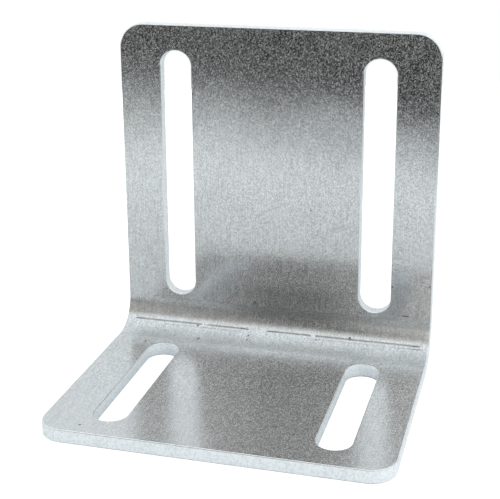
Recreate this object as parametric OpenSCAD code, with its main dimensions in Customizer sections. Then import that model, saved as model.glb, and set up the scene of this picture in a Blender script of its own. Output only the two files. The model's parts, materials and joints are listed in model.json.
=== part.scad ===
// Angle bracket: one steel sheet folded to an L, with a pair of long adjusting slots in each leg.
// Millimetres. The base lies on z = 0 and runs towards -y, the upright stands at the back, and the
// origin is at the middle of the footprint.

/* [Sheet] */
// Width of the sheet, along the fold
width = 100; // [80:1:200]
// Thickness of the sheet
thickness = 4; // [2:0.5:8]
// Inside radius of the fold
bend_radius = 10; // [3:0.5:20]
// Radius of the free corners
corner_radius = 7.5; // [2:0.5:12]
// Bevel that breaks each cut edge
edge_break = 0.3; // [0.1:0.1:0.8]

/* [Legs] */
// Height of the upright, from the underside of the base
upright_height = 104; // [60:1:240]
// Depth of the base, from the back of the upright
base_depth = 80; // [50:1:240]

/* [Slots] */
// Width of each slot
slot_width = 10; // [5:0.5:16]
// Distance between the middles of a leg's two slots
slot_spacing = 64; // [24:1:80]
// Distance from a slot's outer end to the leg's free edge
slot_margin = 8; // [4:0.5:20]
// Distance from the fold to the upright's slots
upright_setback = 1.5; // [0:0.5:20]
// Distance from the fold to the base's slots
base_setback = 4.5; // [0:0.5:20]

/* [Hidden] */
$fn = 96;
// How much of each leg's outer size the fold takes up
fold_reach = bend_radius + thickness;
back = base_depth / 2;
slot_radius = slot_width / 2;
// How far a cut runs past the faces of the sheet
overcut = 1;

// Section of the sheet from x = 0 out to a cut edge, with both edges broken.
module edge_section(reach) {
    polygon([
        [0, 0],
        [reach - edge_break, 0],
        [reach, edge_break],
        [reach, thickness - edge_break],
        [reach - edge_break, thickness],
        [0, thickness]
    ]);
}

// Section of a slot from its middle to one wall, flaring at 45 degrees to break the wall's edges.
module slot_section() {
    mouth = slot_radius + edge_break + overcut;
    polygon([
        [0, -overcut],
        [mouth, -overcut],
        [slot_radius, edge_break],
        [slot_radius, thickness - edge_break],
        [mouth, thickness + overcut],
        [0, thickness + overcut]
    ]);
}

// Cut for one round-ended slot, which starts at y = 0 and runs along +y.
module slot_cut(length) {
    run = length - slot_width;
    translate([0, slot_radius, 0]) {
        for (y = [0, run]) {
            translate([0, y, 0])
                rotate_extrude()
                    slot_section();
        }
        for (side = [0, 1]) {
            mirror([side, 0, 0])
                translate([0, run, 0])
                    rotate([90, 0, 0])
                        linear_extrude(run)
                            slot_section();
        }
    }
}

// Middle of a leg, between the centres of its corners.
module leg_middle(length) {
    span = width - 2 * corner_radius;
    translate([-span / 2, 0, 0])
        rotate([90, 0, 90])
            linear_extrude(span)
                edge_section(length);
}

// Side strip of a leg at +x, with the rounded corner at its free end.
module leg_side(length) {
    translate([width / 2 - corner_radius, length - corner_radius, 0]) {
        rotate([90, 0, 0])
            linear_extrude(length - corner_radius)
                edge_section(corner_radius);
        rotate_extrude(angle = 90)
            edge_section(corner_radius);
    }
}

// One flat leg on its outer face: it meets the fold at y = 0 and its free edge is at y = length.
module leg(length, setback) {
    difference() {
        union() {
            leg_middle(length);
            for (side = [0, 1]) {
                mirror([side, 0, 0])
                    leg_side(length);
            }
        }
        for (side = [-1, 1]) {
            translate([side * slot_spacing / 2, setback, 0])
                slot_cut(length - setback - slot_margin);
        }
    }
}

// Quarter turn that joins the legs, swept about the axis of the fold.
module fold() {
    rotate([0, 90, 0]) {
        rotate_extrude(angle = 90) {
            for (side = [0, 1]) {
                mirror([0, side])
                    translate([fold_reach, 0])
                        rotate(90)
                            edge_section(width / 2);
            }
        }
    }
}

module angle_bracket() {
    color("silver") {
        translate([0, back - fold_reach, 0])
            rotate([0, 0, 180])
                leg(base_depth - fold_reach, base_setback);
        translate([0, back - fold_reach, fold_reach])
            fold();
        translate([0, back, fold_reach])
            rotate([90, 0, 0])
                leg(upright_height - fold_reach, upright_setback);
    }
}

angle_bracket();
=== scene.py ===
"""Dresses a slotted angle bracket, folded from one zinc-plated steel sheet, and sets up its studio.

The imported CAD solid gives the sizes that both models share: its box and its slots. The sheet is
rebuilt here as a mesh with rounded rims, the marks of the bending punch in its fold and a UV map of
its flat pattern, and each kind of face gets its own finish. Lengths are in metres, in the CAD
model's frame.
"""

import json
import logging
import math
from dataclasses import dataclass, field
from enum import Enum
from typing import Protocol

import bmesh
import bpy
from mathutils import Matrix, Quaternion, Vector


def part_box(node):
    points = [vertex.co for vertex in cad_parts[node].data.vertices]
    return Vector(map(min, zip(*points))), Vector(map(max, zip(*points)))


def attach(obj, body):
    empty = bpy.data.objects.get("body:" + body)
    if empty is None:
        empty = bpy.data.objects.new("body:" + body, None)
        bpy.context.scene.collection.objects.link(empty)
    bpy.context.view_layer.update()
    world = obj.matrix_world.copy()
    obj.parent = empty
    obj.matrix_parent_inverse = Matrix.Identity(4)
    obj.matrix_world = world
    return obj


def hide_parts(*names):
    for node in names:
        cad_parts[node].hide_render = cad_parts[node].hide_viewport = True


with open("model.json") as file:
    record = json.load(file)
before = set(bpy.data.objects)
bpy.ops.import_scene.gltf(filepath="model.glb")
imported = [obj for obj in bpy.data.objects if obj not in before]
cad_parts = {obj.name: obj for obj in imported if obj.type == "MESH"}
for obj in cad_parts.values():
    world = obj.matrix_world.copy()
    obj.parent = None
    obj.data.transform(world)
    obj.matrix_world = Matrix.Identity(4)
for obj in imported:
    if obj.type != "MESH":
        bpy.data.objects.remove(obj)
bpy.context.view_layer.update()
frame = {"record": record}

LOG = logging.getLogger("angle_bracket")
MM = 0.001
# Points that lie closer than this are one point
NEAR = 2e-6
# A vertex that lies closer to a face of the sheet than this counts as on it
ON_FACE = 10 * NEAR
# A vertex that lies closer to a groove's middle than this, in degrees, is on the groove's floor
ON_FLOOR = 0.05
RIGHT_ANGLE = 90.0
# Width of the photograph's frame in pixels
FRAME_WIDTH = 500
FLAT_PATTERN = "flat_pattern"
# Units of the flat pattern in a metre
PATTERN_SCALE = 10.0

Point = tuple[float, float, float]
Colour = Point
Span = tuple[float, float]
Socket = bpy.types.NodeSocket
Value = float | Socket

RISE: Span = (0.0, 1.0)
FALL: Span = (1.0, 0.0)
WHITE: Colour = (1.0, 1.0, 1.0)


class Leg(Enum):
    """The two flat legs of the folded sheet."""

    BASE = "base"
    UPRIGHT = "upright"


class SheetFace(Enum):
    """The kinds of face on the sheet, with the material slot that each one takes."""

    ROLLED = 0
    CUT = 1
    MARK = 2
    SLOT = 3
    EDGE = 4


@dataclass(frozen=True)
class Slot:
    """One round-ended slot through a leg.

    Attributes:
        across: Its centre along X.
        along: Its centre, measured along the leg from the end of the fold.
        length: Its length from end to end.
        width: Its width.
    """

    across: float
    along: float
    length: float
    width: float


@dataclass(frozen=True)
class Blemish:
    """One small dark pit or scratch in the plating, in units of the flat pattern.

    Attributes:
        across: Its centre along X.
        along: Its centre along the sheet.
        half_width: Half its width along X.
        half_length: Half its length along the sheet.
    """

    across: float
    along: float
    half_width: float
    half_length: float


@dataclass(frozen=True)
class PunchMark:
    """One thin groove that the punch of a press brake leaves along the fold.

    Attributes:
        angle: Where it lies on the fold, in degrees from the base.
        half_width: Half its width, in degrees of the fold.
        depth: How far it goes into the sheet.
        stretches: The lengths of X over which it shows.
    """

    angle: float
    half_width: float
    depth: float
    stretches: tuple[Span, ...]


@dataclass(frozen=True)
class Ramp:
    """A value that changes evenly between two places and stays level beyond them.

    Attributes:
        source: The two places.
        target: The value at each of them.
    """

    source: Span
    target: Span


def rgba(colour: Colour | Socket) -> object:
    """Makes a plain colour opaque, and returns an output as it is."""
    return colour if isinstance(colour, Socket) else (*colour, 1.0)


class NodeSketch:
    """Adds and links the nodes of one node tree."""

    def __init__(self, tree: bpy.types.NodeTree) -> None:
        """Keeps the tree and clears it."""
        self.tree = tree
        self.tree.nodes.clear()

    def add(
        self,
        kind: str,
        inputs: dict[str | int, object] | None = None,
        **settings: object,
    ) -> bpy.types.Node:
        """Adds a node and fills its sockets.

        Args:
            kind: The node's type, without the prefix that shader nodes have.
            inputs: A value, or another node's output, for each named or numbered input.
            **settings: The node's own properties.

        Returns:
            The new node.
        """
        prefix = "" if kind.startswith("NodeGroup") else "ShaderNode"
        node = self.tree.nodes.new(prefix + kind)
        for name, value in settings.items():
            setattr(node, name, value)
        for key, value in (inputs or {}).items():
            if isinstance(value, Socket):
                self.tree.links.new(value, node.inputs[key])
            else:
                node.inputs[key].default_value = value
        return node

    def math(self, operation: str, *values: Value) -> Socket:
        """Adds a Math node with these inputs and returns its output."""
        return self.add("Math", dict(enumerate(values)), operation=operation).outputs[0]

    def vector(self, operation: str, *vectors: object) -> bpy.types.NodeOutputs:
        """Adds a Vector Math node with these inputs and returns its outputs, Vector and Value."""
        return self.add("VectorMath", dict(enumerate(vectors)), operation=operation).outputs

    def product(self, first: Value, *others: Value) -> Value:
        """Multiplies values.

        Args:
            first: The first value.
            *others: The values that it is multiplied by, in turn.

        Returns:
            Their product.
        """
        result = first
        for other in others:
            result = self.math("MULTIPLY", result, other)
        return result

    def ramp(self, value: Value, ramp: Ramp) -> Socket:
        """Adds a clamped Map Range.

        Args:
            value: The value to map.
            ramp: How it is mapped.

        Returns:
            The mapped value.
        """
        sockets = {
            "Value": value,
            "From Min": ramp.source[0],
            "From Max": ramp.source[1],
            "To Min": ramp.target[0],
            "To Max": ramp.target[1],
        }
        return self.add("MapRange", sockets, clamp=True).outputs["Result"]

    def near(self, value: Value, centre: float, ramp: Ramp) -> Socket:
        """Maps the distance of a value from a centre and returns it."""
        off = self.math("ABSOLUTE", self.math("SUBTRACT", value, centre))
        return self.ramp(off, ramp)

    def place(self) -> Socket:
        """Gives the object's own coordinates."""
        return self.add("TexCoord").outputs["Object"]

    def split(self, vector: Socket) -> bpy.types.NodeOutputs:
        """Splits a vector and returns the outputs X, Y and Z."""
        return self.add("SeparateXYZ", {0: vector}).outputs

    def noise(self, vector: Socket, scale: Value, detail: float) -> Socket:
        """Adds a noise texture and returns its value, about 0.5 on average."""
        sockets = {"Vector": vector, "Scale": scale, "Detail": detail}
        return self.add("TexNoise", sockets).outputs["Fac"]

    def blend(
        self,
        factor: Value,
        first: Colour | Socket,
        second: Colour | Socket,
        kind: str = "MIX",
    ) -> Socket:
        """Mixes two colours, by how much of the second one shows, and returns the result."""
        sockets = {0: factor, 6: rgba(first), 7: rgba(second)}
        return self.add("Mix", sockets, data_type="RGBA", blend_type=kind).outputs[2]

    def tint(self, colour: Colour | Socket, factor: Socket) -> Socket:
        """Multiplies a colour by a value and returns it."""
        return self.blend(1.0, colour, factor, "MULTIPLY")

    def bump(self, height: Socket, depth: float, under: Socket | None = None) -> Socket:
        """Adds a Bump node.

        Args:
            height: The height, from 0 to 1.
            depth: The depth that a height of 1 stands for.
            under: The normal that it is laid over.

        Returns:
            The new normal.
        """
        sockets: dict[str | int, object] = {"Height": height, "Strength": 1.0, "Distance": depth}
        if under is not None:
            sockets["Normal"] = under
        return self.add("Bump", sockets).outputs["Normal"]

    def metal(self, sockets: dict[str | int, object]) -> None:
        """Ends a material in a Principled shader with these inputs."""
        steel = self.add("BsdfPrincipled", sockets)
        self.add("OutputMaterial", {"Surface": steel.outputs["BSDF"]})


def new_material(name: str) -> tuple[bpy.types.Material, NodeSketch]:
    """Makes a material with no nodes.

    Args:
        name: The material's name.

    Returns:
        The material and the sketch of its nodes.
    """
    made = bpy.data.materials.new(name)
    made.use_nodes = True
    return made, NodeSketch(made.node_tree)


def rectangle(bm: bmesh.types.BMesh, low: Vector, high: Vector) -> list[bmesh.types.BMVert]:
    """Adds a level rectangle.

    Args:
        bm: The mesh that it is added to.
        low: Its corner with the lowest coordinates.
        high: Its corner with the highest coordinates.

    Returns:
        Its vertices.
    """
    verts = bmesh.ops.create_grid(bm, x_segments=1, y_segments=1, size=0.5)["verts"]
    size = high - low
    bmesh.ops.scale(bm, vec=(size.x, size.y, 1.0), verts=verts)
    bmesh.ops.translate(bm, vec=(low + high) / 2, verts=verts)
    return verts


def link_mesh(name: str, bm: bmesh.types.BMesh) -> bpy.types.Object:
    """Turns a bmesh into an object of the scene.

    Args:
        name: The name of the object and of its mesh.
        bm: The bmesh, which is freed.

    Returns:
        The object.
    """
    mesh = bpy.data.meshes.new(name)
    bm.to_mesh(mesh)
    bm.free()
    made = bpy.data.objects.new(name, mesh)
    bpy.context.scene.collection.objects.link(made)
    return made


class Finish(Protocol):
    """What dresses one kind of face."""

    def material(self) -> bpy.types.Material:
        """Builds the material and returns it."""


class PlatingGrit:
    """The fine speckle that the zinc finishes share, as one node group."""

    NAME = "plating_grit"
    DETAIL = 2.0
    MATTE_POWER = 1.5

    def group(self) -> bpy.types.NodeTree:
        """Builds the group the first time that it is asked for.

        Returns:
            A group that takes Vector, Scale, Contrast and Matte, and gives Height, Tone and Matte.
        """
        made = bpy.data.node_groups.get(self.NAME)
        if made is not None:
            return made
        tree = bpy.data.node_groups.new(self.NAME, "ShaderNodeTree")
        tree.interface.new_socket("Vector", in_out="INPUT", socket_type="NodeSocketVector")
        for name in ("Scale", "Contrast", "Matte"):
            tree.interface.new_socket(name, in_out="INPUT", socket_type="NodeSocketFloat")
        for name in ("Height", "Tone", "Matte"):
            tree.interface.new_socket(name, in_out="OUTPUT", socket_type="NodeSocketFloat")
        sketch = NodeSketch(tree)
        given = sketch.add("NodeGroupInput").outputs
        sockets = {"Vector": given["Vector"], "Scale": given["Scale"]}
        grains = sketch.add("TexVoronoi", sockets, voronoi_dimensions="2D").outputs["Color"]
        grain = sketch.add("SeparateColor", {0: grains}).outputs[0]
        height = sketch.noise(given["Vector"], given["Scale"], self.DETAIL)
        centred = sketch.math("SUBTRACT", grain, 0.5)
        tone = sketch.math("MULTIPLY_ADD", centred, given["Contrast"], 1.0)
        matte = sketch.product(sketch.math("POWER", grain, self.MATTE_POWER), given["Matte"])
        sketch.add("NodeGroupOutput", {"Height": height, "Tone": tone, "Matte": matte})
        return tree

    def place(
        self,
        sketch: NodeSketch,
        vector: Socket,
        scale: float,
        contrast: Value,
        matte: float = 0.0,
    ) -> bpy.types.NodeOutputs:
        """Places the group in a material, with these inputs, and returns its outputs."""
        sockets = {"Vector": vector, "Scale": scale, "Contrast": contrast, "Matte": matte}
        return sketch.add("Group", sockets, node_tree=self.group()).outputs


@dataclass(frozen=True)
class FoldShading:
    """Painted shade and light round the fold: a dark crease line above the fold, a dark hollow over
    it and a pale foot below the fold.

    Places are in units of the flat pattern, and tones are factors of the colour. The crease and the
    hollow are painted shade, and the foot is painted light on the base. All three are strongest at
    the centre along X: the hollow and the foot fade over the middle, and the crease weakens over its
    sides.
    """

    centre: float = 0.06
    middle: Ramp = Ramp((0.08, 0.24), FALL)
    crease_place: float = 0.17
    crease_fade: Ramp = Ramp((0.006, 0.022), FALL)
    crease_sides: Ramp = Ramp((0.10, 0.36), (1.0, 0.3))
    crease_painted_shade: float = 0.58
    hollow_start: Ramp = Ramp((0.14, 0.16), RISE)
    hollow_end: Ramp = Ramp((0.235, 0.285), FALL)
    hollow_painted_shade: float = 0.70
    foot_start: Ramp = Ramp((-0.2, -0.08), RISE)
    foot_end: Ramp = Ramp((0.045, 0.075), FALL)
    foot_painted_light: float = 1.2

    def crease(self, sketch: NodeSketch, along: Socket) -> Socket:
        """Gives 1 in the crease and 0 away from it, by the place along the sheet."""
        return sketch.near(along, self.crease_place, self.crease_fade)

    def tone(self, sketch: NodeSketch, flat: Socket) -> Value:
        """Works out how the painted shade and light round the fold change the colour.

        Args:
            sketch: The material's nodes.
            flat: The flat pattern's coordinates.

        Returns:
            The factor that the colour is multiplied by.
        """
        place = sketch.split(flat)
        along = place["Y"]
        middle = sketch.near(place["X"], self.centre, self.middle)
        sides = sketch.near(place["X"], self.centre, self.crease_sides)
        line = sketch.product(self.crease(sketch, along), sides)
        start, end = (sketch.ramp(along, ramp) for ramp in (self.hollow_start, self.hollow_end))
        hollow = sketch.product(start, end, middle)
        start, end = (sketch.ramp(along, ramp) for ramp in (self.foot_start, self.foot_end))
        foot = sketch.product(start, end, middle)
        # Painted shade in the hollow and the crease, painted light on the foot.
        return sketch.product(
            sketch.ramp(hollow, Ramp(RISE, (1.0, self.hollow_painted_shade))),
            sketch.ramp(foot, Ramp(RISE, (1.0, self.foot_painted_light))),
            sketch.ramp(line, Ramp(RISE, (1.0, self.crease_painted_shade))),
        )


@dataclass(frozen=True)
class RolledFinish:
    """The zinc-plated rolled face of the sheet: grain along the sheet, speckle, stains and pits,
    with painted shade and light round the fold.

    Places along the sheet are in units of the flat pattern. The crease, the foot, the stains and the
    grain add to the roughness, and the wears are the share of the speckle's dulling that shows.
    """

    name: str = "rolled_zinc_face"
    colour: Colour = (0.726, 0.742, 0.752)
    stain: Colour = (0.698, 0.711, 0.716)
    pit: Colour = (0.22, 0.215, 0.21)
    fold_shading: FoldShading = FoldShading()
    roughness: Ramp = Ramp((-0.05, 0.35), (0.18, 0.10))
    crease_roughness: float = 0.14
    foot_place: float = 0.03
    foot_roughness: Ramp = Ramp((0.02, 0.05), (0.18, 0.0))
    stain_roughness: float = 0.03
    grain_roughness: float = 0.04
    stain_scale: float = 38.0
    stain_edge: Ramp = Ramp((0.35, 0.68), RISE)
    grain_scale: Point = (330.0, 11.0, 1.0)
    grain_tone: Ramp = Ramp((0.25, 0.75), (0.88, 1.10))
    grain_depth: float = 0.004 * MM
    grit_scale: float = 390.0
    grit_contrast: Ramp = Ramp((-0.50, -0.25), (0.24, 0.48))
    grit_matte: float = 0.28
    grit_depth: float = 0.005 * MM
    grit_draw: Span = (0.65, 0.75)
    upright_wear: Ramp = Ramp((0.3, 0.9), (0.6, 1.0))
    base_wear: Ramp = Ramp((-0.1, 0.1), (0.58, 0.0))
    base_dulling: Ramp = Ramp((-0.1, 0.1), (0.09, 0.0))
    wave_scale: float = 22.0
    wave_depth: float = 0.5 * MM
    pit_scale: float = 8.0
    pit_size: Ramp = Ramp((0.78, 1.0), (0.0, 0.042))
    pit_edge: Ramp = Ramp((0.0, 0.012), RISE)
    blemish_edge: Ramp = Ramp((0.6, 1.2), (0.9, 0.0))
    blemishes: tuple[Blemish, ...] = (
        Blemish(-0.395, -0.044, 0.004, 0.008),
        Blemish(-0.235, 0.018, 0.005, 0.008),
        Blemish(-0.077, 0.064, 0.004, 0.005),
        Blemish(-0.078, 0.043, 0.003, 0.005),
        Blemish(-0.069, 0.198, 0.006, 0.005),
        Blemish(0.420, 0.201, 0.013, 0.003),
    )

    def material(self) -> bpy.types.Material:
        """Builds the material.

        Returns:
            The material.
        """
        made, sketch = new_material(self.name)
        place = sketch.place()
        flat = sketch.add("UVMap", uv_map=FLAT_PATTERN).outputs["UV"]
        along = sketch.split(flat)["Y"]
        drawn = self._drawn(sketch, flat)
        contrast = sketch.ramp(along, self.grit_contrast)
        grit = PlatingGrit().place(sketch, drawn, self.grit_scale, contrast, self.grit_matte)
        stretched = sketch.vector("MULTIPLY", flat, self.grain_scale)["Vector"]
        grain = sketch.noise(stretched, scale=1.0, detail=2.0)
        stain = sketch.ramp(sketch.noise(place, self.stain_scale, detail=4.0), self.stain_edge)
        wave = sketch.noise(place, self.wave_scale, detail=1.0)

        grain_tone = sketch.ramp(grain, self.grain_tone)
        # The fold's painted shade and light multiply the colour here.
        tone = sketch.product(grit["Tone"], grain_tone, self.fold_shading.tone(sketch, flat))
        colour = sketch.tint(sketch.blend(stain, self.colour, self.stain), tone)
        pits = sketch.math("MAXIMUM", self._pits(sketch, flat), self._blemished(sketch, flat))
        normal = sketch.bump(wave, self.wave_depth)
        normal = sketch.bump(grain, self.grain_depth, normal)
        normal = sketch.bump(grit["Height"], self.grit_depth, normal)
        sockets = {
            "Base Color": sketch.blend(pits, colour, self.pit),
            "Metallic": self._metallic(sketch, along, grit["Matte"]),
            "Roughness": self._roughness(sketch, along, stain, grain),
            "Normal": normal,
        }
        sketch.metal(sockets)
        return made

    def _roughness(self, sketch: NodeSketch, along: Socket, stain: Socket, grain: Socket) -> Socket:
        """Works out the roughness.

        Args:
            sketch: The material's nodes.
            along: The place along the sheet.
            stain: 1 in a stain and 0 elsewhere.
            grain: The grain's noise.

        Returns:
            The roughness.
        """
        crease = self.fold_shading.crease(sketch, along)
        foot = sketch.near(along, self.foot_place, self.foot_roughness)
        rough = sketch.ramp(along, self.roughness)
        rough = sketch.math("MULTIPLY_ADD", crease, self.crease_roughness, rough)
        rough = sketch.math("ADD", rough, foot)
        rough = sketch.math("MULTIPLY_ADD", stain, self.stain_roughness, rough)
        return sketch.math("MULTIPLY_ADD", grain, self.grain_roughness, rough)

    def _metallic(self, sketch: NodeSketch, along: Socket, matte: Socket) -> Socket:
        """Works out how metallic the plating is, which is least on the rubbed base.

        Args:
            sketch: The material's nodes.
            along: The place along the sheet.
            matte: How far the speckle dulls the metal.

        Returns:
            The metallic value.
        """
        upright = sketch.ramp(along, self.upright_wear)
        worn = sketch.math("ADD", upright, sketch.ramp(along, self.base_wear))
        dulling = sketch.ramp(along, self.base_dulling)
        dull = sketch.math("MULTIPLY_ADD", matte, worn, dulling)
        return sketch.math("SUBTRACT", 1.0, dull)

    def _drawn(self, sketch: NodeSketch, flat: Socket) -> Socket:
        """Draws the speckle out along the sheet, most of all on the base, which is rubbed more.

        Args:
            sketch: The material's nodes.
            flat: The flat pattern's coordinates.

        Returns:
            The coordinates at which the speckle is read.
        """
        place = sketch.split(flat)
        base = sketch.product(sketch.math("MINIMUM", place["Y"], 0.0), self.grit_draw[0])
        upright = sketch.product(sketch.math("MAXIMUM", place["Y"], 0.0), self.grit_draw[1])
        along = sketch.math("ADD", base, upright)
        return sketch.add("CombineXYZ", {"X": place["X"], "Y": along}).outputs["Vector"]

    def _blemished(self, sketch: NodeSketch, flat: Socket) -> Value:
        """Draws the single blemishes.

        Args:
            sketch: The material's nodes.
            flat: The flat pattern's coordinates.

        Returns:
            About 1 in a blemish and 0 elsewhere.
        """
        drawn: Value = 0.0
        for spot in self.blemishes:
            away = sketch.vector("SUBTRACT", flat, (spot.across, spot.along, 0.0))["Vector"]
            shares = (1.0 / spot.half_width, 1.0 / spot.half_length, 0.0)
            share = sketch.vector("LENGTH", sketch.vector("MULTIPLY", away, shares)["Vector"])
            drawn = sketch.math("MAXIMUM", drawn, sketch.ramp(share["Value"], self.blemish_edge))
        return drawn

    def _pits(self, sketch: NodeSketch, flat: Socket) -> Socket:
        """Scatters a few small pits.

        Args:
            sketch: The material's nodes.
            flat: The flat pattern's coordinates.

        Returns:
            1 in a pit and 0 elsewhere.
        """
        sockets = {"Vector": flat, "Scale": self.pit_scale}
        cells = sketch.add("TexVoronoi", sockets, voronoi_dimensions="2D").outputs
        chance = sketch.add("SeparateColor", {0: cells["Color"]}).outputs[0]
        size = sketch.ramp(chance, self.pit_size)
        return sketch.ramp(sketch.math("SUBTRACT", size, cells["Distance"]), self.pit_edge)


@dataclass(frozen=True)
class MarkFinish:
    """The bottom of the punch marks: near-black painted shade in the groove, broken by patches of
    the metal's own colour, and unbroken at some ends, which are places along X.
    """

    name: str = "punch_mark"
    # colour is near-black painted shade in the groove; worn is the metal's own colour in its gaps.
    colour: Colour = (0.03, 0.03, 0.03)
    worn: Colour = (0.63, 0.65, 0.66)
    roughness: float = 0.5
    metal_share_scale: float = 560.0
    metal_share: Ramp = Ramp((0.42, 0.60), (0.60, 1.0))
    ends: tuple[float, ...] = (-0.0460, -0.0090, -0.0012, 0.0455)
    end_metal_share: Ramp = Ramp((0.0008, 0.003), RISE)

    def material(self) -> bpy.types.Material:
        """Builds the material.

        Returns:
            The material.
        """
        made, sketch = new_material(self.name)
        place = sketch.place()
        across = sketch.split(place)["X"]
        metal_share = sketch.ramp(sketch.noise(place, self.metal_share_scale, detail=3.0), self.metal_share)
        left = [sketch.near(across, end, self.end_metal_share) for end in self.ends]
        colour = sketch.blend(sketch.product(metal_share, *left), self.colour, self.worn)
        sketch.metal({"Base Color": colour, "Metallic": 1.0, "Roughness": self.roughness})
        return made


@dataclass(frozen=True)
class CutFinish:
    """The paler cut edges of the sheet, round its outline and in its slots.

    The slant is how much of Y is added to X and to Z where the speckle is read.
    """

    name: str = "cut_zinc_edge"
    colour: Colour = (0.90, 0.958, 1.0)
    metallic: float = 0.2
    roughness: float = 0.42
    grit_roughness: float = 0.08
    grit_scale: float = 2200.0
    grit_contrast: float = 0.22
    grit_depth: float = 0.03 * MM
    slant: Span = (0.6, 0.8)

    def material(self) -> bpy.types.Material:
        """Builds the material.

        Returns:
            The material.
        """
        made, sketch = new_material(self.name)
        around = self._round_the_edge(sketch)
        grit = PlatingGrit().place(sketch, around, self.grit_scale, self.grit_contrast)
        height = grit["Height"]
        sockets = {
            "Base Color": sketch.tint(self.colour, grit["Tone"]),
            "Metallic": self.metallic,
            "Roughness": sketch.math("MULTIPLY_ADD", height, self.grit_roughness, self.roughness),
            "Normal": sketch.bump(height, self.grit_depth),
        }
        sketch.metal(sockets)
        return made

    def _round_the_edge(self, sketch: NodeSketch) -> Socket:
        """Lays the object's coordinates out in two dimensions, on a slant that suits any wall.

        Args:
            sketch: The material's nodes.

        Returns:
            The coordinates at which the speckle is read.
        """
        place = sketch.split(sketch.place())
        first = sketch.math("MULTIPLY_ADD", place["Y"], self.slant[0], place["X"])
        second = sketch.math("MULTIPLY_ADD", place["Y"], self.slant[1], place["Z"])
        return sketch.add("CombineXYZ", {"X": first, "Y": second}).outputs["Vector"]


@dataclass(frozen=True)
class EdgeFinish:
    """The narrow rounded rims between rolled faces and cut edges: smooth metal that shows a bright
    line of the room, with a near-white colour, brighter than the plating's, as painted highlight.
    """

    name: str = "highlight_rim"
    # Brighter than the plating's colour: painted highlight on the rims.
    colour: Colour = (0.95, 0.97, 0.99)
    roughness: float = 0.16
    grit_roughness: float = 0.12
    grit_scale: float = 1500.0
    grit_contrast: float = 0.25

    def material(self) -> bpy.types.Material:
        """Builds the material.

        Returns:
            The material.
        """
        made, sketch = new_material(self.name)
        grit = PlatingGrit().place(sketch, sketch.place(), self.grit_scale, self.grit_contrast)
        height = grit["Height"]
        sockets = {
            "Base Color": sketch.tint(self.colour, grit["Tone"]),
            "Metallic": 1.0,
            "Roughness": sketch.math("MULTIPLY_ADD", height, self.grit_roughness, self.roughness),
        }
        sketch.metal(sockets)
        return made


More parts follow.
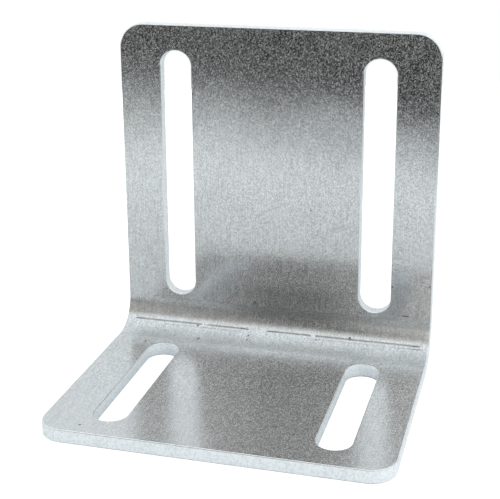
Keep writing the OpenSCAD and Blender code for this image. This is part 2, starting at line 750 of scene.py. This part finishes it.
@dataclass
class FoldedSheet:
    """The bracket: one sheet folded once, with two slots in each leg.

    Attributes:
        node: The CAD node that it stands for.
        body: The body that it rides on.
        material_slot: The name of a material slot; not used.
        thickness: The sheet's thickness.
        bend_radius: The fold's radius on its inner side.
        corner_radius: The radius of the four free corners.
        edge_break: The rounding of the cut edges.
        corner_steps: The steps round a corner or round half a slot's end.
        rim_steps: The steps round a broken edge.
        fold_step: The largest step round the fold, in degrees.
        marks: The grooves of the bending punch, by their angle.
        mark_taper: The length over which a groove runs out.
        half_width: Half the sheet's width.
        centre_x: The middle of its width.
        fold_y: The fold's axis along Y.
        fold_z: The fold's axis along Z.
        lengths: The length of each leg, from the fold to its free edge.
        slots: The slots of each leg.
    """

    node: str = "angle_bracket"
    body: str = "root"
    material_slot: str = "zinc_steel"
    thickness: float = 4.0 * MM
    bend_radius: float = 10.0 * MM
    corner_radius: float = 7.5 * MM
    edge_break: float = 0.3 * MM
    corner_steps: int = 16
    rim_steps: int = 3
    fold_step: float = 3.5
    marks: tuple[PunchMark, ...] = (
        PunchMark(37.8, 0.4, 0.06 * MM, ((-0.0365, -0.0105), (0.0138, 0.0485))),
        PunchMark(
            43.3,
            0.46,
            0.16 * MM,
            ((-0.047, -0.0236), (-0.0225, -0.0079), (-0.0022, 0.0126), (0.0139, 0.0470)),
        ),
    )
    mark_taper: float = 0.8 * MM
    half_width: float = field(init=False)
    centre_x: float = field(init=False)
    fold_y: float = field(init=False)
    fold_z: float = field(init=False)
    lengths: dict[Leg, float] = field(init=False)
    slots: dict[Leg, list[Slot]] = field(init=False)

    def __post_init__(self) -> None:
        """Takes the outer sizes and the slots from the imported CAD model."""
        low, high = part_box(self.node)
        self.half_width = (high.x - low.x) / 2
        self.centre_x = (high.x + low.x) / 2
        self.fold_y = high.y - self.thickness - self.bend_radius
        self.fold_z = low.z + self.thickness + self.bend_radius
        self.lengths = {Leg.BASE: self.fold_y - low.y, Leg.UPRIGHT: high.z - self.fold_z}
        self.slots = {leg: [] for leg in Leg}
        for mount in frame["record"]["mounts"]:
            if "slot_length_mm" in mount["dims"]:
                self._take_slot(mount)

    def _take_slot(self, mount: dict) -> None:
        """Adds the slot that a mount describes.

        Args:
            mount: The mount, as the record has it.
        """
        x, y, z = mount["pos_m"]
        leg = Leg.UPRIGHT if abs(mount["axis"][1]) > 0.5 else Leg.BASE
        along = z - self.fold_z if leg is Leg.UPRIGHT else self.fold_y - y
        length = mount["dims"]["slot_length_mm"] * MM
        width = 2 * mount["dims"]["hole_r_mm"] * MM
        self.slots[leg].append(Slot(x, along, length, width))

    def _round(
        self,
        bm: bmesh.types.BMesh,
        corners: list[bmesh.types.BMVert],
        radius: float,
    ) -> None:
        """Rounds corners of a flat outline."""
        bmesh.ops.bevel(
            bm,
            geom=corners,
            offset=radius,
            offset_type="OFFSET",
            affect="VERTICES",
            segments=self.corner_steps,
            profile=0.5,
            material=-1,
            clamp_overlap=False,
        )

    def _leg(self, leg: Leg) -> bmesh.types.BMesh:
        """Makes the inner face of one leg.

        Args:
            leg: Which leg.

        Returns:
            A flat mesh in place, with the leg's outline and slots.
        """
        bm = bmesh.new()
        length = self.lengths[leg]
        low = Vector((self.centre_x - self.half_width, 0.0, 0.0))
        high = Vector((self.centre_x + self.half_width, length, 0.0))
        outline = rectangle(bm, low, high)
        self._round(bm, [v for v in outline if v.co.y > length / 2], self.corner_radius)
        for slot in self.slots[leg]:
            half = Vector((slot.width / 2, slot.length / 2, 0.0))
            middle = Vector((slot.across, slot.along, 0.0))
            self._round(bm, rectangle(bm, middle - half, middle + half), slot.width / 2)
        bmesh.ops.remove_doubles(bm, verts=bm.verts, dist=NEAR)
        bmesh.ops.delete(bm, geom=bm.faces[:], context="FACES_ONLY")
        bmesh.ops.triangle_fill(bm, use_beauty=True, use_dissolve=False, edges=bm.edges[:])
        if leg is Leg.UPRIGHT:
            turn = Matrix.Rotation(math.radians(RIGHT_ANGLE), 4, "X")
            place = Vector((0.0, self.fold_y + self.bend_radius, self.fold_z))
        else:
            turn = Matrix.Scale(-1.0, 4, (0.0, 1.0, 0.0))
            place = Vector((0.0, self.fold_y, self.fold_z - self.bend_radius))
        bmesh.ops.transform(bm, matrix=Matrix.Translation(place) @ turn, verts=bm.verts)
        return bm

    def _steps(self, start: float, stop: float) -> list[float]:
        """Divides a stretch of the fold and returns the angles after its start."""
        steps = math.ceil((stop - start) / self.fold_step)
        return [start + (stop - start) * (i + 1) / steps for i in range(steps)]

    def _fold_angles(self) -> list[float]:
        """Finds where the fold has a row of vertices.

        Returns:
            The angles of the rows after the first, in degrees from the base.
        """
        angles: list[float] = []
        start = 0.0
        for mark in self.marks:
            angles += self._steps(start, mark.angle - mark.half_width)
            start = mark.angle + mark.half_width
            angles += [mark.angle, start]
        return angles + self._steps(start, RIGHT_ANGLE)

    def _inner_sheet(self) -> bmesh.types.BMesh:
        """Makes the inner face of the whole sheet, facing the inside of the angle.

        Returns:
            The open mesh of the two legs and the fold between them.
        """
        bm = self._leg(Leg.BASE)
        row = [e for e in bm.edges if all(abs(v.co.y - self.fold_y) < NEAR for v in e.verts)]
        last = 0.0
        for angle in self._fold_angles():
            turned = bmesh.ops.spin(
                bm,
                geom=row + list({v for e in row for v in e.verts}),
                cent=(0.0, self.fold_y, self.fold_z),
                axis=(1.0, 0.0, 0.0),
                angle=math.radians(angle - last),
                steps=1,
                use_merge=False,
            )
            row = [g for g in turned["geom_last"] if isinstance(g, bmesh.types.BMEdge)]
            last = angle
        upright = self._leg(Leg.UPRIGHT)
        loose = bpy.data.meshes.new("upright_face")
        upright.to_mesh(loose)
        upright.free()
        bm.from_mesh(loose)
        bpy.data.meshes.remove(loose)
        bmesh.ops.remove_doubles(bm, verts=bm.verts, dist=NEAR)
        bmesh.ops.recalc_face_normals(bm, faces=bm.faces[:])
        front_face = min(bm.faces, key=lambda f: f.calc_center_median().y)
        if front_face.normal.z < 0.0:
            bmesh.ops.reverse_faces(bm, faces=bm.faces[:])
        return bm

    def _on_fold(self, point: Vector) -> bool:
        """Tells whether a point belongs to the fold."""
        return point.y > self.fold_y - NEAR and point.z < self.fold_z + NEAR

    def _angle(self, point: Vector) -> float:
        """Gives a point's place on the fold, in degrees from the base."""
        return math.degrees(math.atan2(point.y - self.fold_y, self.fold_z - point.z))

    def _depth(self, point: Vector) -> float:
        """Finds how deep a point lies in the sheet.

        Args:
            point: The point.

        Returns:
            Its distance from the sheet's inner face.
        """
        if self._on_fold(point):
            reach = math.hypot(point.y - self.fold_y, self.fold_z - point.z)
            return reach - self.bend_radius
        if point.y <= self.fold_y:
            return self.fold_z - self.bend_radius - point.z
        return point.y - self.fold_y - self.bend_radius

    def _is_rolled(self, face: bmesh.types.BMFace, margin: float = 0.0) -> bool:
        """Tells whether a face lies wholly on the sheet's inner or outer face.

        Args:
            face: The face.
            margin: How far from there it may lie.

        Returns:
            Whether it does.
        """
        depths = [self._depth(v.co) for v in face.verts]
        inner = max(depths) < margin + NEAR
        return inner or min(depths) > self.thickness - margin - ON_FACE

    def _in_upright_slot(self, point: Vector) -> bool:
        """Tells whether a point lies in a slot of the upright or on its wall.

        Args:
            point: The point.

        Returns:
            Whether it does.
        """
        if point.y <= self.fold_y + self.bend_radius:
            return False
        for slot in self.slots[Leg.UPRIGHT]:
            across = abs(point.x - slot.across) - slot.width / 2
            along = abs(point.z - self.fold_z - slot.along) - slot.length / 2
            if max(across, along) < self.edge_break:
                return True
        return False

    def _kind(self, face: bmesh.types.BMFace) -> SheetFace:
        """Tells rolled faces, rounded rims, walls of the upright's slots and other edges apart.

        Args:
            face: The face.

        Returns:
            Its kind.
        """
        if self._is_rolled(face):
            return SheetFace.ROLLED
        if self._is_rolled(face, self.edge_break):
            return SheetFace.EDGE
        if self._in_upright_slot(face.calc_center_median()):
            return SheetFace.SLOT
        return SheetFace.CUT

    def _split_marks(self, bm: bmesh.types.BMesh) -> None:
        """Cuts the fold across at the ends of each groove.

        Args:
            bm: The open mesh of the sheet's inner face.
        """
        ends: set[float] = set()
        for mark in self.marks:
            for start, stop in mark.stretches:
                ends |= {start, start + self.mark_taper, stop - self.mark_taper, stop}
        for x in sorted(ends):
            faces = [f for f in bm.faces if all(self._on_fold(v.co) for v in f.verts)]
            edges = {e for f in faces for e in f.edges}
            verts = {v for f in faces for v in f.verts}
            bmesh.ops.bisect_plane(
                bm,
                geom=[*verts, *edges, *faces],
                dist=NEAR,
                plane_co=(x, 0.0, 0.0),
                plane_no=(1.0, 0.0, 0.0),
            )

    def _press_marks(self, bm: bmesh.types.BMesh) -> None:
        """Presses the grooves of the punch into the inner side of the fold.

        Args:
            bm: The solid sheet's mesh.
        """
        fold = [v for v in bm.verts if self._on_fold(v.co)]
        inner = [v for v in fold if abs(self._depth(v.co)) < ON_FACE]
        for mark in self.marks:
            for start, stop in mark.stretches:
                near = [v for v in inner if start - NEAR < v.co.x < stop + NEAR]
                self._press(near, mark, (start, stop))

    def _press(self, near: list[bmesh.types.BMVert], mark: PunchMark, stretch: Span) -> None:
        """Presses one stretch of a groove.

        Args:
            near: The vertices of the fold's inner side along the stretch.
            mark: The groove.
            stretch: The length of X over which it shows.
        """
        start, stop = stretch
        off = {v: abs(self._angle(v.co) - mark.angle) for v in near}
        band = {v for v in near if off[v] < mark.half_width + ON_FLOOR}
        floor = [v for v in near if off[v] < ON_FLOOR]
        for face in {f for v in floor for f in v.link_faces}:
            if all(v in band for v in face.verts):
                face.material_index = SheetFace.MARK.value
                face.smooth = False
        for vert in floor:
            if start + NEAR < vert.co.x < stop - NEAR:
                outward = Vector((0.0, vert.co.y - self.fold_y, vert.co.z - self.fold_z))
                vert.co += outward.normalized() * mark.depth

    def _unfold(self, bm: bmesh.types.BMesh) -> None:
        """Writes the flat pattern as a UV map.

        Args:
            bm: The solid sheet's mesh.
        """
        layer = bm.loops.layers.uv.new(FLAT_PATTERN)
        middle = self.bend_radius + self.thickness / 2
        for face in bm.faces:
            for loop in face.loops:
                point = loop.vert.co
                if self._on_fold(point):
                    along = math.radians(self._angle(point)) * middle
                elif point.y <= self.fold_y:
                    along = point.y - self.fold_y
                else:
                    along = math.radians(RIGHT_ANGLE) * middle + point.z - self.fold_z
                loop[layer].uv = (point.x * PATTERN_SCALE, along * PATTERN_SCALE)

    def build(self) -> bpy.types.Object:
        """Builds the sheet's mesh.

        Returns:
            The new object, with no material yet.
        """
        bm = self._inner_sheet()
        self._split_marks(bm)
        bmesh.ops.solidify(bm, geom=bm.faces[:], thickness=self.thickness)
        bmesh.ops.recalc_face_normals(bm, faces=bm.faces[:])
        rolled = {f for f in bm.faces if self._is_rolled(f)}
        rim = [e for e in bm.edges if len({f in rolled for f in e.link_faces}) == 2]
        bmesh.ops.bevel(
            bm,
            geom=rim,
            offset=self.edge_break,
            offset_type="OFFSET",
            affect="EDGES",
            segments=self.rim_steps,
            profile=0.5,
            material=-1,
            clamp_overlap=False,
            loop_slide=False,
        )
        for face in bm.faces:
            face.material_index = self._kind(face).value
            face.smooth = True
        self._press_marks(bm)
        self._unfold(bm)
        sheet = link_mesh("bracket_sheet", bm)
        weighted = sheet.modifiers.new("face_normals", "WEIGHTED_NORMAL")
        weighted.mode = "FACE_AREA"
        return sheet

    def dress(self, sheet: bpy.types.Object, finishes: dict[SheetFace, Finish]) -> None:
        """Gives the sheet its finishes and ties it to the CAD model.

        Args:
            sheet: The object that build() made.
            finishes: The finish of each kind of face.
        """
        for kind in SheetFace:
            sheet.data.materials.append(finishes[kind].material())
        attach(sheet, self.body)
        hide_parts(self.node)


def stage_mesh(name: str, bm: bmesh.types.BMesh, paper: bpy.types.Material) -> bpy.types.Object:
    """Turns a bmesh into an object of the stage.

    Args:
        name: The object's name.
        bm: Its mesh, which is freed.
        paper: Its material.

    Returns:
        The object.
    """
    bmesh.ops.recalc_face_normals(bm, faces=bm.faces[:])
    made = link_mesh(name, bm)
    made.data.materials.append(paper)
    return made


def shiny_rays(sketch: NodeSketch, path: bpy.types.NodeOutputs) -> Socket:
    """Gives 1 to rays that come from metal or glass, by the outputs of a Light Path node."""
    return sketch.math("MAXIMUM", path["Is Glossy Ray"], path["Is Transmission Ray"])


@dataclass(frozen=True)
class Table:
    """The white table top that the part stands on.

    The shade is its lightness by the distance from the part's middle, darker near the part as a
    painted shadow, and the fall is what that loses towards the front edge. Reflections show it
    darker under the part, also a painted shadow. It glows to the camera, and a little in
    reflections. Its turn is in degrees.
    """

    front: float = 0.29
    back: float = 0.45
    left: float = 0.32
    right: float = 0.25
    turn: float = 18.0
    drop: float = 0.05 * MM
    white: Colour = (0.925, 0.985, 1.015)
    shade: Ramp = Ramp((0.05, 0.18), (0.68, 0.90))
    under_x: Ramp = Ramp((0.040, 0.050), (0.5, 0.0))
    under_y: Ramp = Ramp((0.034, 0.042), FALL)
    fall: Ramp = Ramp((-0.29, -0.145), (0.745, 0.0))
    glow: float = 0.76
    shiny_glow: float = 0.05

    def build(self) -> None:
        """Makes the table top."""
        bm = bmesh.new()
        low = Vector((-self.left, -self.front, -self.drop))
        verts = rectangle(bm, low, Vector((self.right, self.back, -self.drop)))
        turn = Matrix.Rotation(math.radians(self.turn), 3, "Z")
        bmesh.ops.rotate(bm, cent=(0.0, 0.0, 0.0), matrix=turn, verts=verts)
        stage_mesh("table_top", bm, self._paper())

    def _paper(self) -> bpy.types.Material:
        """Builds the table's white, which keeps a soft shadow.

        Returns:
            The material.
        """
        made, sketch = new_material("white_paper")
        place = sketch.place()
        path = sketch.add("LightPath").outputs
        shiny = shiny_rays(sketch, path)
        apart = sketch.split(sketch.vector("ABSOLUTE", place)["Vector"])
        # Painted shadow in reflections under the part's footprint.
        under_x = sketch.ramp(apart["X"], self.under_x)
        under = sketch.product(under_x, sketch.ramp(apart["Y"], self.under_y), shiny)
        turn = math.radians(self.turn)
        ahead = sketch.vector("DOT_PRODUCT", place, (-math.sin(turn), math.cos(turn), 0.0))
        fall = sketch.ramp(ahead["Value"], self.fall)

        # Painted shadow: the paper is darker near the part.
        shade = sketch.ramp(sketch.vector("LENGTH", place)["Value"], self.shade)
        shade = sketch.product(shade, sketch.math("SUBTRACT", 1.0, under))
        shade = sketch.math("SUBTRACT", shade, fall)
        paper = sketch.add("BsdfDiffuse", {"Color": sketch.tint(self.white, shade)})
        direct = sketch.product(path["Is Camera Ray"], sketch.math("ADD", fall, self.glow))
        strength = sketch.math("MULTIPLY_ADD", shiny, self.shiny_glow, direct)
        glow = sketch.add("Emission", {"Color": rgba(WHITE), "Strength": strength})
        both = sketch.add("AddShader", {0: paper.outputs[0], 1: glow.outputs[0]})
        sketch.add("OutputMaterial", {"Surface": both.outputs[0]})
        return made


@dataclass(frozen=True)
class GreySweep:
    """The grey ground and front wall round the table, which the metal shows and the camera doesn't.

    The wall gets lighter with height, by low and then high, and is dimmer there on the right.
    Below that it is darkest in one strip, and right and left add to its lightness.
    """

    reach: float = 1.6
    wall_distance: float = 0.95
    wall_height: float = 1.5
    drop: float = 3.0 * MM
    grey: Colour = (0.98, 0.985, 0.965)
    low: Ramp = Ramp((0.70, 1.10), (0.01, 0.50))
    high: Ramp = Ramp((1.10, 1.5), (0.0, 0.35))
    dim: Ramp = Ramp((-0.25, -0.05), (1.0, 0.75))
    strip_x: float = -0.21
    strip: Ramp = Ramp((0.03, 0.09), (0.0, 0.22))
    right: Ramp = Ramp((-0.13, -0.04), (0.0, 0.38))
    left: Ramp = Ramp((-0.28, -0.45), (0.0, 0.16))
    wall_foot: float = 0.01

    def build(self) -> None:
        """Makes the ground and the wall."""
        bm = bmesh.new()
        low = Vector((-self.reach, -self.wall_distance, -self.drop))
        rectangle(bm, low, Vector((self.reach, self.reach, -self.drop)))
        row = [e for e in bm.edges if all(v.co.y < 0.0 for v in e.verts)]
        raised = bmesh.ops.extrude_edge_only(bm, edges=row)["geom"]
        tips = [g for g in raised if isinstance(g, bmesh.types.BMVert)]
        bmesh.ops.translate(bm, vec=(0.0, 0.0, self.wall_height), verts=tips)
        sweep = stage_mesh("grey_sweep", bm, self._paper())
        sweep.visible_camera = False
        sweep.visible_diffuse = False
        sweep.visible_shadow = False

    def _paper(self) -> bpy.types.Material:
        """Builds the sweep's grey.

        Returns:
            The material.
        """
        made, sketch = new_material("grey_paper")
        place = sketch.split(sketch.place())
        across, up = place["X"], place["Z"]
        height = sketch.math("ADD", sketch.ramp(up, self.low), sketch.ramp(up, self.high))
        height = sketch.product(height, sketch.ramp(across, self.dim))
        strip = sketch.near(across, self.strip_x, self.strip)
        sides = sketch.math("ADD", sketch.ramp(across, self.left), sketch.ramp(across, self.right))
        raised = sketch.math("GREATER_THAN", up, self.wall_foot)
        aside = sketch.product(sketch.math("ADD", strip, sides), raised)
        colour = sketch.tint(self.grey, sketch.math("MAXIMUM", height, aside))
        paper = sketch.add("BsdfDiffuse", {"Color": colour})
        sketch.add("OutputMaterial", {"Surface": paper.outputs[0]})
        return made


@dataclass(frozen=True)
class Room:
    """The light: an even room, white where the camera sees it, and one soft lamp on the right.

    The sky is what the metal shows of the room, and the light is what the room gives. Both change
    with height. The lamp's power is in watts.
    """

    sky: Colour = (0.94, 1.0, 1.03)
    sky_low: Ramp = Ramp((0.45, 0.85), (0.83, 1.0))
    sky_high: Ramp = Ramp((0.93, 0.99), (1.0, 0.9))
    light: Colour = (1.0, 0.99, 0.97)
    light_level: Ramp = Ramp((0.0, 1.0), (1.36, 0.65))
    lamp_size: float = 0.7
    lamp_power: float = 1.1
    lamp_place: Point = (0.62, -0.12, 0.42)
    lamp_aim: Point = (0.0, 0.0, 0.05)

    def build(self) -> None:
        """Makes the room's light and hangs the lamp."""
        self._world()
        self._lamp()

    def _world(self) -> None:
        """Lights the room evenly, and white where it is seen directly or in the metal."""
        made = bpy.data.worlds.new("white_room")
        made.use_nodes = True
        sketch = NodeSketch(made.node_tree)
        path = sketch.add("LightPath").outputs
        camera = path["Is Camera Ray"]
        seen = sketch.math("MAXIMUM", camera, shiny_rays(sketch, path))
        up = sketch.split(sketch.add("TexCoord").outputs["Generated"])["Z"]
        sky = sketch.product(sketch.ramp(up, self.sky_low), sketch.ramp(up, self.sky_high))
        white = sketch.blend(camera, sketch.tint(self.sky, sky), WHITE)
        light = sketch.tint(self.light, sketch.ramp(up, self.light_level))
        colour = sketch.blend(seen, light, white)
        room = sketch.add("Background", {"Color": colour, "Strength": 1.0})
        sketch.add("OutputWorld", {"Surface": room.outputs[0]})
        bpy.context.scene.world = made

    def _lamp(self) -> None:
        """Hangs the soft lamp, which the metal doesn't show."""
        data = bpy.data.lights.new("side_softbox", "AREA")
        data.shape = "SQUARE"
        data.size = self.lamp_size
        data.energy = self.lamp_power
        lamp = bpy.data.objects.new("side_softbox", data)
        lamp.location = self.lamp_place
        lamp.rotation_mode = "QUATERNION"
        facing = Vector(self.lamp_aim) - Vector(self.lamp_place)
        lamp.rotation_quaternion = facing.to_track_quat("-Z", "Y")
        lamp.visible_glossy = False
        bpy.context.scene.collection.objects.link(lamp)


@dataclass(frozen=True)
class Viewpoint:
    """The camera, at the photograph's viewing angle.

    The roll is in degrees, the focal length in pixels of the frame, and the sensor's width in
    millimetres. The frame is shifted down by a share of its width.
    """

    eye: Point = (0.08362, -0.30113, 0.15781)
    aim: Point = (0.00073, 0.00301, 0.0602)
    roll: float = -0.33
    focal_pixels: float = 1160.2
    frame_drop: float = 0.099
    sensor_width: float = 36.0
    clip: Span = (0.01, 20.0)

    def build(self) -> None:
        """Places the camera and makes it the scene's."""
        data = bpy.data.cameras.new("camera")
        data.sensor_fit = "HORIZONTAL"
        data.sensor_width = self.sensor_width
        data.lens = self.focal_pixels * self.sensor_width / FRAME_WIDTH
        data.shift_y = -self.frame_drop
        data.clip_start, data.clip_end = self.clip
        made = bpy.data.objects.new("camera", data)
        made.location = self.eye
        made.rotation_mode = "QUATERNION"
        level = (Vector(self.aim) - Vector(self.eye)).to_track_quat("-Z", "Y")
        turn = Quaternion((0.0, 0.0, 1.0), math.radians(self.roll))
        made.rotation_quaternion = level @ turn
        bpy.context.scene.collection.objects.link(made)
        bpy.context.scene.camera = made


@dataclass(frozen=True)
class Studio:
    """The stage, the light and the camera."""

    table: Table = Table()
    sweep: GreySweep = GreySweep()
    room: Room = Room()
    viewpoint: Viewpoint = Viewpoint()

    def build(self) -> None:
        """Builds them all and sets how colours are shown."""
        for item in (self.table, self.sweep, self.room, self.viewpoint):
            item.build()
            LOG.info("studio: %s", type(item).__name__)
        bpy.context.scene.view_settings.view_transform = "Standard"


def main() -> None:
    """Builds the studio and the bracket."""
    logging.basicConfig(level=logging.INFO, format="%(name)s: %(message)s")
    Studio().build()
    sheet = FoldedSheet()
    piece = sheet.build()
    finishes: dict[SheetFace, Finish] = {
        SheetFace.ROLLED: RolledFinish(),
        SheetFace.CUT: CutFinish(),
        SheetFace.MARK: MarkFinish(),
        # A darker copy of the cut edge's colour on the upright's slot walls: painted shade.
        SheetFace.SLOT: CutFinish(name="shaded_slot_wall", colour=(0.74, 0.79, 0.815)),
        SheetFace.EDGE: EdgeFinish(),
    }
    sheet.dress(piece, finishes)
    LOG.info("%s: %d faces", piece.name, len(piece.data.polygons))


if __name__ == "__main__":
    main()
